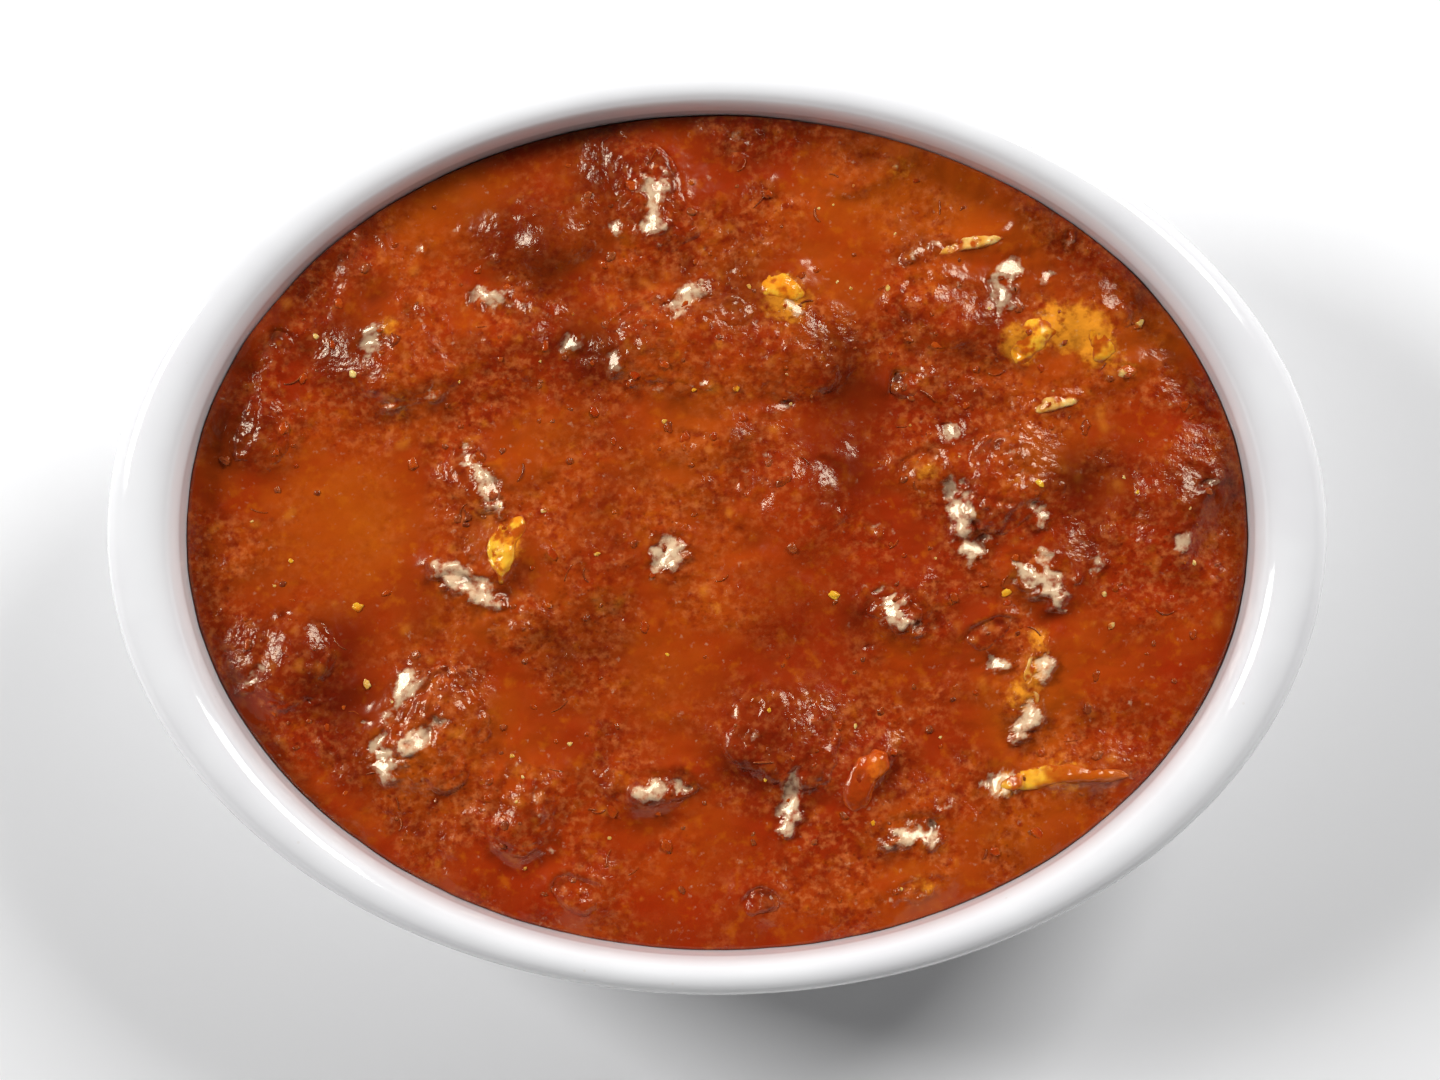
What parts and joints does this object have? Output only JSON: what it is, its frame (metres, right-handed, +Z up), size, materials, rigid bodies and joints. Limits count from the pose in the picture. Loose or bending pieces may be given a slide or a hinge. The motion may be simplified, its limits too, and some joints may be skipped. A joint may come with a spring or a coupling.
{
  "type": "chili con carne in an oval dish",
  "caption": "Oval white stoneware dish filled almost to its rim with chunky beef chili: thick red-brown sauce, braised beef, pieces of pepper and strands of onion.",
  "frame": {"origin": "middle of the dish's foot, on the surface it stands on", "axes": "+X along the long way of the oval, +Y across it, +Z up out of the dish"},
  "size_m": [0.2, 0.1514, 0.048],
  "materials": {
    "dish": "glossy white glaze",
    "sauce": "thick wet tomato and chili sauce",
    "beef": "braised beef coated with sauce",
    "yellow_pepper": "wet stewed pepper",
    "red_pepper": "wet stewed pepper",
    "onion": "wet soft onion"
  },
  "bodies": {
    "root": {"beef_centre": "beef", "beef_centre_left": "beef", "beef_centre_low": "beef", "beef_crumb_bottom": "beef", "beef_crumb_bottom_edge": "beef", "beef_crumb_bottom_left": "beef", "beef_crumb_bottom_right": "beef", "beef_crumb_centre": "beef", "beef_crumb_far_left": "beef", "beef_crumb_left": "beef", "beef_crumb_left_low": "beef", "beef_crumb_left_lowest": "beef", "beef_crumb_left_top": "beef", "beef_crumb_lower": "beef", "beef_crumb_right": "beef", "beef_crumb_right_low": "beef", "beef_crumb_right_middle": "beef", "beef_crumb_top_edge": "beef", "beef_crumb_upper_right": "beef", "beef_left_edge": "beef", "beef_left_edge_upper": "beef", "beef_left_lower": "beef", "beef_left_upper": "beef", "beef_lower_left": "beef", "beef_lower_middle": "beef", "beef_middle_end": "beef", "beef_middle_fibrous": "beef", "beef_right_edge": "beef", "beef_right_knob": "beef", "beef_right_top_edge": "beef", "beef_right_upper": "beef", "beef_shred_middle": "beef", "beef_shred_right": "beef", "beef_top": "beef", "beef_top_left": "beef", "beef_upper_middle": "beef", "dish": "dish", "pepper_left": "yellow_pepper", "pepper_middle": "yellow_pepper", "pepper_right_small": "yellow_pepper", "pepper_right_upper": "yellow_pepper", "pepper_strip_right": "yellow_pepper", "red_pepper_lower": "red_pepper", "sauce": "sauce", "strand_right_lower": "onion", "strand_right_middle": "onion", "strand_right_tip": "onion", "strand_right_upper": "onion", "strand_top_right": "onion"}
  },
  "joints": []
}
